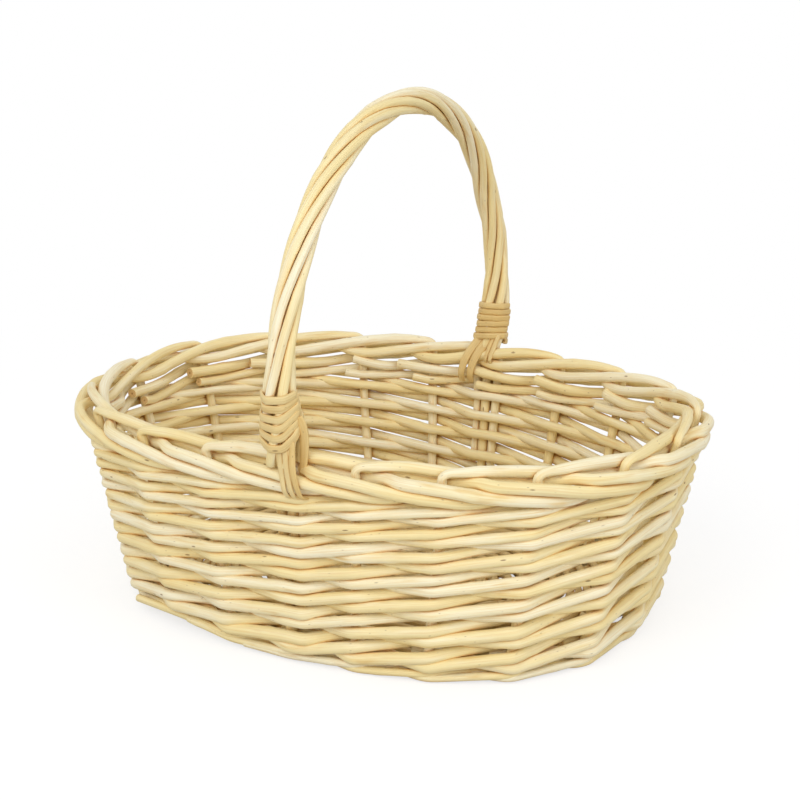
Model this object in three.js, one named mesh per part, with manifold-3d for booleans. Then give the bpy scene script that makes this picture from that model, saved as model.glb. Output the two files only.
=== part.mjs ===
// Oval willow basket with a fixed hoop handle, built rod by rod. Stakes stand
// in an oval woven base, one rod for each stake climbs round the wall, the stake
// tops are plaited into the border, and six rods round a bow make the handle.
// Millimetres, +Z up: X is the long axis, the handle spans Y, the front is -Y
// and the basket stands on z = 0.
import * as THREE from 'three';
import Module from 'manifold-3d';
import { mergeVertices } from 'three/addons/utils/BufferGeometryUtils.js';

// Plan of the stake line: a superellipse that widens from the floor to the rim
const RIM_LENGTH = 398;
const RIM_WIDTH = 300;
const FLOOR_LENGTH = 333;
const FLOOR_WIDTH = 238;
const SQUARENESS = 2.4;          // exponent of the outline: 2 is an ellipse
const BORDER_HEIGHT = 127;       // middle of the plaited border at the ends
const RIM_TILT = 6;              // the border stands higher at the front and lower at the back
const GAP = 0.3;                 // clearance between rods that touch

// Wall
const STAKES = 20;               // even, so that a stake stands at each handle foot
const CROWDING = 0.12;           // stakes stand closer along the sides than round the ends
const STAKE_DIAMETER = 6.8;
const TOE_LENGTH = 9;            // the stake's bent foot, turned in under the wall
const WALL_ROUNDS = 7;           // at most; fewer where the wall is too low for them
const WALL_ROD_BUTT = 6.1;       // thickness at the foot of the wall
const WALL_ROD_TIP = 5.2;        // and under the border
const PAIR_GAP = 1.8;            // between the two rods in front of a stake
const ROD_SIDES = 5;

// Handle
const BOW_DIAMETER = 6.4;        // the core rod, let into the wall at both feet
const BOW_FOOT = 24;             // height of its lower ends
const STRANDS = 6;               // rods laid round the bow
const STRAND_DIAMETER = 5.4;
const ROPE_TURNS = 2.6;          // twist of the lay from foot to foot
const HANDLE_HEIGHT = 325;       // middle of the rope at the crown
const HANDLE_SPAN = 318;         // across the rope's middles at their widest
const SHOULDER_HEIGHT = 183;     // where the hoop is widest
const HANDLE_SHIFT = 7;          // the hoop stands a little to the right of the middle
const BINDING_TURNS = 6;
const BINDING_FOOT = 3.5;        // from the border's top to the middle of the lowest turn
const FRONT_SKEIN_WIDTH = 4.8;   // split willow of the bindings
const REAR_SKEIN_WIDTH = 3.6;
const SKEIN_THICKNESS = 1.8;
const TURN_GAP = 0.8;            // between neighbouring turns
const TIE_PASSES = 3;            // each tie goes over the border this many times
const TIE_WIDTH = 3.4;
const TIE_SLANT = 7;             // how far a tie runs sideways on its way down

// Base
const SHORT_STICK_DIAMETER = 5.6;
const LONG_STICK_DIAMETER = 4.8;
const EYE_DIAMETER = 8.6;        // the short sticks swell where they are pierced
const EYE_LENGTH = 24;
const BASE_WEAVER_DIAMETER = 4.4;
const BASE_TURNS = 6;            // turns of each of the two base weavers
const WEAVE_START = 18;          // first turn, from the middle line of the slath
const FAN_START = 27;            // where the outer long sticks leave the middle one
const FAN_ANGLE = 54;            // degrees

const WILLOW = { color: 0xd8bd8d, roughness: 0.55, metalness: 0 };
const SKEIN = { color: 0xdfc896, roughness: 0.5, metalness: 0 };
const BASE_WILLOW = { color: 0xccae7c, roughness: 0.6, metalness: 0 };

const TAU = 2 * Math.PI;
const X = new THREE.Vector3(1, 0, 0);
const Z = new THREE.Vector3(0, 0, 1);
const vec = (x, y, z) => new THREE.Vector3(x, y, z);
const lerp = THREE.MathUtils.lerp;
const basket = new THREE.Group();
basket.name = 'oval_willow_basket';

function addPiece(name, geometry, look) {
  const mesh = new THREE.Mesh(geometry, new THREE.MeshStandardMaterial(look));
  mesh.name = name;
  basket.add(mesh);
  return mesh;
}

// Sections: a regular polygon with one corner on the normal, and a flat strip
// with its face on the normal
function roundSection(diameter, sides) {
  const corner = (k) => new THREE.Vector2(Math.cos(k * TAU / sides), Math.sin(k * TAU / sides));
  return new THREE.Shape(
    Array.from({ length: sides }, (_, k) => corner(k).multiplyScalar(diameter / 2)));
}

function stripSection(width, thickness) {
  const [t, w] = [thickness / 2, width / 2];
  return new THREE.Shape([[t, w], [-t, w], [-t, -w], [t, -w]].map((p) => new THREE.Vector2(...p)));
}

// A rod: a straight prism with one ring for each point, bent along the points.
// The normals, one for all or one for each point, say how the section faces;
// without them it is carried along the path unturned.
function bentRod(points, section, { normals, tip = 1 } = {}) {
  const last = points.length - 1;
  const prism = new THREE.ExtrudeGeometry(section, { depth: 1, steps: last, bevelEnabled: false });
  let carried = null;
  const rings = points.map((point, i) => {
    const before = point.clone().sub(points[Math.max(i - 1, 0)]).normalize();
    const after = points[Math.min(i + 1, last)].clone().sub(point).normalize();
    const along = before.add(after).normalize();
    const facing = Array.isArray(normals) ? normals[i]
      : normals ?? carried ?? (Math.abs(along.z) < 0.9 ? Z : X);
    const normal = facing.clone().addScaledVector(along, -facing.dot(along)).normalize();
    carried = normal;
    return { point, normal, side: along.clone().cross(normal), scale: lerp(1, tip, i / last) };
  });
  const corners = prism.attributes.position;
  for (let k = 0; k < corners.count; k++) {
    const { point, normal, side, scale } = rings[Math.round(corners.getZ(k) * last)];
    const at = point.clone()
      .addScaledVector(normal, corners.getX(k) * scale)
      .addScaledVector(side, corners.getY(k) * scale);
    corners.setXYZ(k, at.x, at.y, at.z);
  }
  prism.computeVertexNormals();
  return prism;
}

// The least distance between points of a wound rod that are more than a few
// widths apart along it
function leastSelfGap(geometry, points, apart) {
  const ring = geometry.attributes.position;
  const along = [0];
  points.slice(1).forEach((p, i) => along.push(along[i] + p.distanceTo(points[i])));
  const corners = Array.from({ length: ring.count }, (_, k) => vec(0, 0, 0).fromBufferAttribute(ring, k));
  const nearest = corners.map((c) => points.reduce(
    (best, p, i) => (p.distanceToSquared(c) < points[best].distanceToSquared(c) ? i : best), 0));
  let least = Infinity;
  corners.forEach((c, i) => corners.slice(i + 1).forEach((d, j) => {
    if (Math.abs(along[nearest[i]] - along[nearest[i + 1 + j]]) > apart)
      least = Math.min(least, c.distanceTo(d));
  }));
  return least;
}

// Places on the wall are given by s, counted in stakes anticlockwise from the
// front middle, by the distance out of the stake line, and by the height
const power = (v, e) => Math.sign(v) * Math.abs(v) ** e;
const OUTLINE_STEPS = 1440;
const outline = Array.from({ length: OUTLINE_STEPS + 1 }, (_, i) => {
  const angle = TAU * (i / OUTLINE_STEPS - 0.25);
  return [power(Math.cos(angle), 2 / SQUARENESS), power(Math.sin(angle), 2 / SQUARENESS)];
});
const outlineLength = [0];
for (let i = 1; i <= OUTLINE_STEPS; i++) {
  const dx = (outline[i][0] - outline[i - 1][0]) * RIM_LENGTH / 2;
  const dy = (outline[i][1] - outline[i - 1][1]) * RIM_WIDTH / 2;
  outlineLength.push(outlineLength[i - 1] + Math.hypot(dx, dy));
}
const stakeSpacing = outlineLength[OUTLINE_STEPS] / STAKES;

function outlineAt(s) {
  const target = (((s % STAKES) + STAKES) % STAKES) * stakeSpacing;
  const i = Math.max(outlineLength.findIndex((length) => length >= target), 1);
  const share = (target - outlineLength[i - 1]) / (outlineLength[i] - outlineLength[i - 1]);
  return [0, 1].map((axis) => lerp(outline[i - 1][axis], outline[i][axis], share));
}

function outwards(s, z) {
  const [a, b] = halfAxes(z);
  const [x, y] = outlineAt(s);
  return vec(power(x, SQUARENESS - 1) / a, power(y, SQUARENESS - 1) / b, 0).normalize();
}

function halfAxes(z) {
  const rise = z / BORDER_HEIGHT;
  return [lerp(FLOOR_LENGTH, RIM_LENGTH, rise) / 2, lerp(FLOOR_WIDTH, RIM_WIDTH, rise) / 2];
}

// The tilt grows from the lowest round of the wall to the highest
function tiltAt(s, z) {
  const share = (z - lowestRound) / (highestRound - lowestRound);
  return -RIM_TILT * outlineAt(s)[1] * THREE.MathUtils.clamp(share, 0, 1);
}

function onWall(s, out, z) {
  const [a, b] = halfAxes(z);
  const [x, y] = outlineAt(s);
  return vec(a * x, b * y, z + tiltAt(s, z)).addScaledVector(outwards(s, z), out);
}

// Stakes are numbered from the front foot of the bow, which stands at k = 0 and
// at the opposite side; each stake stands just past the place of its number
const stakeRadius = STAKE_DIAMETER / 2;
const bowRadius = BOW_DIAMETER / 2;
const bowAt = (k) => k + HANDLE_SHIFT / stakeSpacing * Math.cos(TAU * k / STAKES)
  - CROWDING * Math.sin(2 * TAU * k / STAKES);
const stakeShift = (stakeRadius + bowRadius + GAP) * (RIM_LENGTH / FLOOR_LENGTH) / stakeSpacing;
const stakeAt = (k) => bowAt(k) + stakeShift;

// Base levels: the weavers' undersides lie on the floor, sticks and toes above
const weaverRadius = BASE_WEAVER_DIAMETER / 2;
const weaverFlat = weaverRadius * Math.cos(Math.PI / ROD_SIDES);
const stickRadius = SHORT_STICK_DIAMETER / 2;
const STEEPEST = THREE.MathUtils.degToRad(25);   // slope of a weaver between two sticks
const weaveOffset = (stickRadius + weaverRadius + GAP) / Math.cos(STEEPEST);
const underLevel = weaverFlat;
const stickLevel = underLevel + weaveOffset;
const overLevel = stickLevel + weaveOffset;
const toeLevel = stakeRadius + 2 * GAP;
const edgeOut = stakeRadius + weaverRadius + GAP;   // the edge rod lies against the stakes' feet

// Stakes and border. Each stake bends over to the right, passes inside the next
// stake, comes out under that stake's bend, lies outside the two after it, goes
// in again and is cut off there. Steps are along, out and height: along is
// counted in stakes, out and height in stake thicknesses.
const lay = STAKE_DIAMETER + GAP;
const BEND_TOP = 1.16;           // top of the bend
const OUTSIDE = 1.18;            // furthest out
const LOWEST_OUTSIDE = -1.28;    // before it goes in again
const GOING_IN = -1.72;          // half-way between two stakes as it goes in
const BORDER_RUN = [
  [0.00, 0.00, 0.30], [0.03, -0.02, 0.80], [0.12, -0.10, 1.10], [0.50, -0.75, BEND_TOP],
  [0.78, -1.10, 0.90], [1.05, -1.12, 0.62], [1.20, -0.82, 0.20], [1.38, 0.00, 0.00],
  [1.60, 0.95, 0.05], [1.85, 1.14, -0.05], [2.05, 1.16, -0.22], [2.50, OUTSIDE, -0.85],
  [3.04, 1.08, LOWEST_OUTSIDE], [3.25, 0.62, -1.60], [3.50, -0.10, GOING_IN],
  [3.74, -1.06, -1.66], [4.10, -1.12, -1.30], [4.40, -1.15, -0.92],
];
const borderTop = BORDER_HEIGHT + BEND_TOP * lay + stakeRadius;

// Levels of the lowest and highest rounds of the wall, clear of the base and of
// the border
const CROSSING = 0.77;     // height of a rod as it crosses the wall, in its thicknesses
const lowestRound = GAP + Math.max(toeLevel + stakeRadius + WALL_ROD_BUTT / 2,
  underLevel + weaverRadius + (CROSSING + 0.5) * WALL_ROD_BUTT);
const highestRound = BORDER_HEIGHT + GOING_IN * lay - stakeRadius - GAP
  - (CROSSING + 0.5) * WALL_ROD_TIP;

const stakeSection = roundSection(STAKE_DIAMETER, ROD_SIDES);

function stake(k) {
  const bend = stakeRadius + 2 * GAP;
  const toe = [[-TOE_LENGTH, 0], [-bend, 0], [-0.3 * bend, 0.3 * bend], [0, bend]];
  const border = BORDER_RUN.map(([along, out, rise]) =>
    onWall(stakeAt(k + along), out * lay, BORDER_HEIGHT + rise * lay));
  const foot = toe.map(([out, rise]) => onWall(stakeAt(k), out, toeLevel + rise));
  return bentRod([...foot, ...border], stakeSection);
}

for (let k = 0; k < STAKES; k++)
  addPiece(`stake_${String(k + 1).padStart(2, '0')}`, stake(k), WILLOW);

// French randing: one rod for each stake. A rod begins inside its own stake at
// the foot of the wall and climbs as it goes round: behind one stake, in front
// of two, and in again one round higher, until it ends under the border.
const rodThickness = (share) => lerp(WALL_ROD_BUTT, WALL_ROD_TIP, share);
const WALL_SLANT = THREE.MathUtils.degToRad(21);   // steepest run from face to face of the wall
const NEARLY_STRAIGHT = 0.24;                      // radians between two stakes
const leastPitch = (2 * CROSSING + 1) * rodThickness(0.5) + GAP;
const rounds = Math.min(WALL_ROUNDS, 1 + Math.floor((highestRound - lowestRound) / leastPitch));

// Round heights share the wall out in proportion to the rods' thickness
const thicknessBelow = (round) => {
  let sum = 0;
  for (let i = 0; i < round; i++) sum += rodThickness((i + 0.5) / Math.max(rounds - 1, 1));
  return sum;
};
const roundHeight = (round) => lowestRound + (highestRound - lowestRound)
  * thicknessBelow(THREE.MathUtils.clamp(round, 0, rounds - 1)) / Math.max(thicknessBelow(rounds - 1), 1);

const isBowStake = (k) => k % (STAKES / 2) === 0;
const turnToNext = (k) => outwards(stakeAt(k), 0).angleTo(outwards(stakeAt(k + 1), 0));

function wallRod(start) {
  const post = Math.max(stakeRadius, bowRadius);
  const run = 3 * rounds;
  const path = [];
  for (let n = 0; n <= run; n++) {
    const k = start + n;
    const round = Math.floor(n / 3);
    const thick = rodThickness(n / run);
    const out = (post + thick / 2 + GAP) / Math.cos(WALL_SLANT);
    const pair = (thick + PAIR_GAP) / 2;
    const z = roundHeight(round);
    const between = (roundHeight(round - 1) + z) / 2;
    const [placeOut, placeZ] = [[-out, between], [out, z - pair], [out, z + pair]][n % 3];
    const [crossOut, crossZ] = [[0, z - CROSSING * thick], [out, z], [0, z + CROSSING * thick]][n % 3];
    if (isBowStake(k) && n > 0) path.push(onWall(bowAt(k), placeOut, placeZ));
    path.push(onWall(stakeAt(k), placeOut, placeZ));
    const straight = n % 3 === 1 && turnToNext(k) < NEARLY_STRAIGHT;
    if (n < run && !straight) path.push(onWall(stakeAt(k + 0.5), crossOut, crossZ));
  }
  const section = roundSection(WALL_ROD_BUTT, ROD_SIDES);
  return bentRod(path, section, { normals: Z, tip: WALL_ROD_TIP / WALL_ROD_BUTT });
}

for (let k = 0; k < STAKES; k++)
  addPiece(`wall_rod_${String(k + 1).padStart(2, '0')}`, wallRod(k), WILLOW);

// Handle line: up the wall at the front, over the crown and down at the back
const FRONT_FOOT = 0;
const REAR_FOOT = STAKES / 2;
const ARCH_STEPS = 32;

function handleLine() {
  const widest = HANDLE_SPAN / 2;
  const leg = (k) => {
    const foot = onWall(bowAt(k), 0, BOW_FOOT);
    const rim = onWall(bowAt(k), 0, BORDER_HEIGHT);
    const flare = (rim.y - foot.y) / (rim.z - foot.z);
    const shoulder = vec(HANDLE_SHIFT, Math.sign(rim.y) * widest, SHOULDER_HEIGHT);
    const bulge = Math.min(rim.z + (shoulder.y - rim.y) / flare, SHOULDER_HEIGHT);
    return { foot, rim, swell: vec(HANDLE_SHIFT, shoulder.y, bulge), shoulder };
  };
  const arch = Array.from({ length: ARCH_STEPS + 1 }, (_, i) => {
    const angle = Math.PI * i / ARCH_STEPS;
    return vec(HANDLE_SHIFT, -widest * Math.cos(angle),
      SHOULDER_HEIGHT + (HANDLE_HEIGHT - SHOULDER_HEIGHT) * Math.sin(angle));
  });
  const [front, rear] = [leg(FRONT_FOOT), leg(REAR_FOOT)];
  const line = new THREE.CurvePath();
  line.curves = [
    new THREE.LineCurve3(front.foot, front.rim),
    new THREE.QuadraticBezierCurve3(front.rim, front.swell, front.shoulder),
    new THREE.CatmullRomCurve3(arch),
    new THREE.QuadraticBezierCurve3(rear.shoulder, rear.swell, rear.rim),
    new THREE.LineCurve3(rear.rim, rear.foot),
  ];
  return line;
}

const handle = handleLine();
const handleLength = handle.getLength();

function onHandle(length) {
  const step = 0.5;
  const at = (l) => handle.getPoint(THREE.MathUtils.clamp(l / handleLength, 0, 1));
  const along = at(length + step).sub(at(length - step)).normalize();
  const side = X.clone().addScaledVector(along, -X.dot(along)).normalize();
  return { point: at(length), side, face: along.clone().cross(side) };
}

// Length from a foot of the bow up to a height above the border's top there
function lengthAbove(k, rise) {
  const z = borderTop + tiltAt(bowAt(k), borderTop) + rise;
  let [low, high] = [0, handleLength / 2];
  while (high - low > 0.01) {
    const middle = (low + high) / 2;
    const { point } = onHandle(k === FRONT_FOOT ? middle : handleLength - middle);
    if (point.z < z) low = middle; else high = middle;
  }
  return low;
}

const aroundHandle = (length, angle, radius) => {
  const { point, side, face } = onHandle(length);
  const normal = side.multiplyScalar(Math.cos(angle)).addScaledVector(face, Math.sin(angle));
  return { point: point.addScaledVector(normal, radius), normal };
};

// Bow: straight in the wall, then in even steps over the hoop
const BOW_STEPS = 26;
const [frontRim, rearRim] = [handle.curves.at(0).getLength(), handle.curves.at(-1).getLength()];
const bowPath = [onHandle(0).point];
for (let i = 0; i <= BOW_STEPS; i++)
  bowPath.push(onHandle(lerp(frontRim, handleLength - rearRim, i / BOW_STEPS)).point);
bowPath.push(onHandle(handleLength).point);
addPiece('handle_bow', bentRod(bowPath, roundSection(BOW_DIAMETER, 6), { normals: X }), WILLOW);

// Strands of the rope
const STRAND_STEPS = 28;
const strandRadius = STRAND_DIAMETER / 2;
const ropeFoot = lengthAbove(FRONT_FOOT, 2 * GAP);
const ropeRun = handleLength - ropeFoot - lengthAbove(REAR_FOOT, 2 * GAP);
const layAngle = Math.atan(ROPE_TURNS * TAU * (bowRadius + strandRadius) / ropeRun);
const strandCircle = Math.max(bowRadius + strandRadius + 2 * GAP,
  (STRAND_DIAMETER + GAP) / (2 * Math.sin(Math.PI / STRANDS) * Math.cos(layAngle)));
const ropeRadius = strandCircle + strandRadius;
for (let j = 0; j < STRANDS; j++) {
  const rings = Array.from({ length: STRAND_STEPS + 1 }, (_, i) => aroundHandle(
    ropeFoot + ropeRun * i / STRAND_STEPS, TAU * (j / STRANDS + ROPE_TURNS * i / STRAND_STEPS),
    strandCircle));
  addPiece(`handle_strand_${j + 1}`, bentRod(rings.map((ring) => ring.point),
    roundSection(STRAND_DIAMETER, ROD_SIDES), { normals: rings.map((ring) => ring.normal) }), WILLOW);
}

// Bindings: one skein wound up each foot of the rope
const LOOP_STEPS = 16;
const bindingCircle = (ropeRadius + GAP) / Math.cos(Math.PI / LOOP_STEPS) + SKEIN_THICKNESS / 2;

function binding(name, k, width) {
  const foot = lengthAbove(k, BINDING_FOOT);
  const rings = Array.from({ length: BINDING_TURNS * LOOP_STEPS + 1 }, (_, i) => {
    const climb = foot + (width + TURN_GAP) * i / LOOP_STEPS;
    const angle = TAU * i / LOOP_STEPS;
    return k === FRONT_FOOT ? aroundHandle(climb, angle, bindingCircle)
      : aroundHandle(handleLength - climb, -angle, bindingCircle);
  });
  const path = rings.map((ring) => ring.point);
  const geometry = bentRod(path, stripSection(width, SKEIN_THICKNESS),
    { normals: rings.map((ring) => ring.normal) });
  console.log(name, 'least gap to itself', leastSelfGap(geometry, path, 3 * width).toFixed(2), 'mm');
  addPiece(name, geometry, SKEIN);
}
binding('binding_front', FRONT_FOOT, FRONT_SKEIN_WIDTH);
binding('binding_rear', REAR_FOOT, REAR_SKEIN_WIDTH);

// Ties: a skein laid to and fro over the border below each binding, outside the
// border at the front foot and inside it at the rear foot
const tiePitch = TIE_WIDTH + TURN_GAP;
const tieLift = GAP + SKEIN_THICKNESS / 2;

function tie(name, k, face) {
  const outer = face > 0 ? OUTSIDE : BEND_TOP;           // how far the border stands out there
  const tuckUnder = face > 0 ? LOWEST_OUTSIDE : 0.1;     // the rod that the tie is tucked under
  const out = face * (outer * lay + stakeRadius + tieLift);
  const tuck = BORDER_HEIGHT + tuckUnder * lay - stakeRadius - tieLift - GAP;
  const bendRadius = tiePitch / 2;
  const top = borderTop - bendRadius - TIE_WIDTH / 2;
  const path = [];
  const normals = [];
  const put = (across, o, z, down) => {
    const at = bowAt(k) + across / stakeSpacing;
    path.push(onWall(at, o, z));
    normals.push(outwards(at, z).multiplyScalar(face * (1 - down)).addScaledVector(Z, -down));
  };
  for (let pass = 0; pass < TIE_PASSES; pass++) {
    const across = (pass - (TIE_PASSES - 1) / 2) * tiePitch;
    const low = across + TIE_SLANT;
    const steps = [
      [across, out, top, 0],
      [lerp(across, low, 0.8), out, tuck + 2 * SKEIN_THICKNESS, 0],
      [low, out - face * SKEIN_THICKNESS, tuck, 0.5],
      [low, out - face * 3 * SKEIN_THICKNESS, tuck, 1],
    ];
    const downwards = pass % 2 === 0;
    (downwards ? steps : steps.reverse()).forEach((step) => put(...step));
    if (pass === TIE_PASSES - 1) break;
    for (const angle of [45, 90, 135].map(THREE.MathUtils.degToRad)) {
      const sideways = bendRadius * (1 - Math.cos(angle));
      const beyond = bendRadius * Math.sin(angle);
      if (downwards) put(low + sideways, out - face * (3 * SKEIN_THICKNESS + beyond), tuck, 1);
      else put(across + sideways, out, top + beyond, 0);
    }
  }
  const geometry = bentRod(path, stripSection(TIE_WIDTH, SKEIN_THICKNESS), { normals });
  console.log(name, 'least gap to itself',
    leastSelfGap(geometry, path, 2.5 * tiePitch).toFixed(2), 'mm');
  addPiece(name, geometry, SKEIN);
}
tie('tie_front', FRONT_FOOT, 1);
tie('tie_rear', REAR_FOOT, -1);

// Base: three long sticks go through clefts in three short ones, and two
// weavers spiral outwards from this slath. Its rounds are stadium-shaped.
const slathHalf = (FLOOR_LENGTH - FLOOR_WIDTH) / 2;
const stickReach = FLOOR_WIDTH / 2 * (1 - (2 * slathHalf / FLOOR_LENGTH) ** SQUARENESS) ** (1 / SQUARENESS)
  - TOE_LENGTH - 3 * GAP;
const weaveEnd = stickReach - weaverRadius;
const longSpacing = LONG_STICK_DIAMETER + GAP;
const fan = THREE.MathUtils.degToRad(FAN_ANGLE);

// Where an outer long stick stands at a distance from the slath's end
function fanPoint(reach) {
  if (reach <= FAN_START) return vec(Math.sqrt(reach ** 2 - longSpacing ** 2), longSpacing, 0);
  const start = vec(Math.sqrt(FAN_START ** 2 - longSpacing ** 2), longSpacing, 0);
  const towards = vec(Math.cos(fan), Math.sin(fan), 0);
  const half = start.dot(towards);
  const travel = Math.sqrt(half ** 2 + reach ** 2 - FAN_START ** 2) - half;
  return start.addScaledVector(towards, travel);
}
const fanTurn = (reach) => Math.atan2(fanPoint(reach).y, fanPoint(reach).x);

// Twelve stick ends, counted from the front short stick on the right: q may lie
// between two of them
const ENDS = 12;
function onRound(q, reach, z) {
  const turn = fanTurn(reach);
  const angles = [-Math.PI / 2, -turn, 0, turn, Math.PI / 2];
  const half = q % (ENDS / 2);
  const flip = Math.floor(q / (ENDS / 2)) % 2 ? -1 : 1;
  if (half > 4) return vec(flip * slathHalf * (5 - half), flip * reach, z);
  const i = Math.min(Math.floor(half), 3);
  const angle = lerp(angles[i], angles[i + 1], half - i);
  return vec(flip * (slathHalf + reach * Math.cos(angle)), flip * reach * Math.sin(angle), z);
}

const baseShortSection = [
  [0, -stickReach], [stickRadius, -stickReach], [stickRadius, -EYE_LENGTH / 2 - stickRadius],
  [EYE_DIAMETER / 2, -EYE_LENGTH / 2 + stickRadius], [EYE_DIAMETER / 2, EYE_LENGTH / 2 - stickRadius],
  [stickRadius, EYE_LENGTH / 2 + stickRadius], [stickRadius, stickReach], [0, stickReach],
].map((p) => new THREE.Vector2(...p));

const wasm = await Module();
wasm.setup();

function solid(geometry) {
  const bare = new THREE.BufferGeometry();
  bare.setAttribute('position', geometry.attributes.position);
  if (geometry.index) bare.setIndex(geometry.index);
  const merged = mergeVertices(bare, 1e-4);
  return new wasm.Manifold(new wasm.Mesh({
    numProp: 3,
    vertProperties: merged.attributes.position.array,
    triVerts: new Uint32Array(merged.index.array),
  }));
}

function cut(geometry, tool) {
  const { vertProperties, triVerts } = solid(geometry).subtract(solid(tool)).getMesh();
  const result = new THREE.BufferGeometry();
  result.setAttribute('position', new THREE.Float32BufferAttribute(vertProperties, 3));
  result.setIndex(new THREE.Uint32BufferAttribute(triVerts, 1));
  result.computeVertexNormals();
  return result;
}

const cleftWidth = 2 * longSpacing + LONG_STICK_DIAMETER + 2 * GAP;
const cleft = new THREE.BoxGeometry(2 * EYE_DIAMETER, cleftWidth, LONG_STICK_DIAMETER + 2 * GAP);
for (let i = -1; i <= 1; i++) {
  const stick = cut(new THREE.LatheGeometry(baseShortSection, 8), cleft);
  addPiece(`base_short_stick_${i + 2}`, stick, BASE_WILLOW)
    .position.set(i * slathHalf, 0, stickLevel);
}

const longSection = roundSection(LONG_STICK_DIAMETER, 6);
for (let i = -1; i <= 1; i++) {
  const bends = i === 0 ? [] : [FAN_START];
  const half = [...bends, stickReach].map((reach) => (i === 0 ? vec(reach, 0, 0) : fanPoint(reach)))
    .map((p) => vec(slathHalf + p.x, i * p.y, stickLevel));
  const mirrored = half.map((p) => vec(-p.x, p.y, p.z)).reverse();
  addPiece(`base_long_stick_${i + 2}`, bentRod([...mirrored, ...half], longSection, { normals: Z }),
    BASE_WILLOW);
}

// Each weaver goes over every other stick end. Close to the slath, where the
// long sticks still lie together, it passes the three of them as one.
function baseWeaver(which) {
  const start = which * ENDS / 2;
  const growth = (weaveEnd - WEAVE_START) / (BASE_TURNS * ENDS);
  const path = [];
  for (let n = start; n <= start + BASE_TURNS * ENDS; n++) {
    const reach = WEAVE_START + growth * (n - start);
    const together = reach < 2 * FAN_START && n % (ENDS / 2) === 2;
    const over = (n % 2 === 1 || together) !== (which === 1);
    path.push(onRound(n % ENDS, reach, over ? overLevel : underLevel));
    const next = (n % (ENDS / 2)) + 1;
    const wide = next <= 4 && reach > 2 * FAN_START;
    const sideGap = next <= 4 && (next === 1 || next === 4);
    if (n < start + BASE_TURNS * ENDS && (wide || sideGap))
      path.push(onRound((n % ENDS) + 0.5, reach + growth / 2, stickLevel));
  }
  return path;
}

// The first weaver comes out between two stakes and ends as the edge rod, once
// round outside the stakes' feet
const EDGE_STEPS = 28;
function edgeRod() {
  const [from, to] = [stakeAt(1.75), stakeAt(STAKES + 1.3)];
  const round = Array.from({ length: EDGE_STEPS + 1 }, (_, i) =>
    onWall(lerp(from, to, i / EDGE_STEPS), edgeOut, 0));
  const inside = -(TOE_LENGTH + weaverRadius + 2 * GAP);
  return [onWall(stakeAt(1.1), inside, 0), onWall(stakeAt(1.4), inside / 2, 0), ...round]
    .map((p) => p.setZ(underLevel));
}

const weaverSection = roundSection(BASE_WEAVER_DIAMETER, ROD_SIDES);
addPiece('base_weaver_1', bentRod([...baseWeaver(0), ...edgeRod()], weaverSection, { normals: Z }),
  BASE_WILLOW);
addPiece('base_weaver_2', bentRod(baseWeaver(1), weaverSection, { normals: Z }), BASE_WILLOW);

export default basket;
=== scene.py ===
# Oval willow basket with a fixed hoop handle: every rod of the frame gets its round,
# slightly crooked form and a peeled-willow finish. Metres, in the frame's own axes.
import bisect
import math
import random

import bpy
from mathutils import Euler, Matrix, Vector, noise


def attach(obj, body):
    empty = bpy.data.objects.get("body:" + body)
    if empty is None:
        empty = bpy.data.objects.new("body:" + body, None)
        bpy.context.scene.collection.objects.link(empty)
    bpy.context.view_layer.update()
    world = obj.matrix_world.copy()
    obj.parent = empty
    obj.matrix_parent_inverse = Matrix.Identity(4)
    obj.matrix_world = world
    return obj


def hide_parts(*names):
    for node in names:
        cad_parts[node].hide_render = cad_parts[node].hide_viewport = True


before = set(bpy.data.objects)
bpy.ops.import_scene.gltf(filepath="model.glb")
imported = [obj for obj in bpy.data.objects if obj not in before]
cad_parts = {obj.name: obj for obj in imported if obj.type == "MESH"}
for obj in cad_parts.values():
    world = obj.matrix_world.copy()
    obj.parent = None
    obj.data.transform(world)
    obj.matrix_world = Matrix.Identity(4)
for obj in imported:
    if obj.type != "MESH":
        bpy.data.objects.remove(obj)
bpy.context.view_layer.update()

MM = 0.001
TAU = 2 * math.pi
UP = Vector((0, 0, 1))
ALONG_X = Vector((1, 0, 0))
SEED = 17
random.seed(SEED)
noise.seed_set(SEED)

# Stake line: a superellipse that widens from the floor to the rim, as half axes
RIM_HALF = (197.4 * MM, 150 * MM)
FLOOR_HALF = (167.6 * MM, 127 * MM)
SQUARENESS = 2.4
BORDER_HEIGHT = 127 * MM
RIM_TILT = 4.5 * MM                   # the border is higher at the front and lower at the back
RIM_ROLL = 2 * MM                     # and higher at the right than at the left
FLOOR_TWIST = math.radians(1.6)       # the woven wall leans round a little towards the floor
FLOOR_LIFT = 7.5 * MM                 # at the front left it doesn't quite touch the ground
LIFT_PLACE, LIFT_REACH = 18.0, 1.05   # in stakes
FLOOR_SKEW = 0.11                     # near the floor the oval is fuller at the front right
# Low and high stretches of the rim: place and reach in stakes, and height
RIM_WAVES = [(7.9, 1.4, -2.0 * MM), (5.9, 0.9, 1.6 * MM)]
LOWEST_ROUND = 15.5 * MM              # the tilt grows between these two levels
HIGHEST_ROUND = 108 * MM
STAKES = 20
CROWDING = 0.20                       # stakes stand closer along the sides than round the ends
STAKE_DIAMETER = 6.8 * MM
BOW_DIAMETER = 6.4 * MM
HANDLE_SHIFT = 7 * MM                 # the handle stands a little right of the middle
GAP = 0.3 * MM
LAY = STAKE_DIAMETER + GAP            # step between rods of the border

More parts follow.
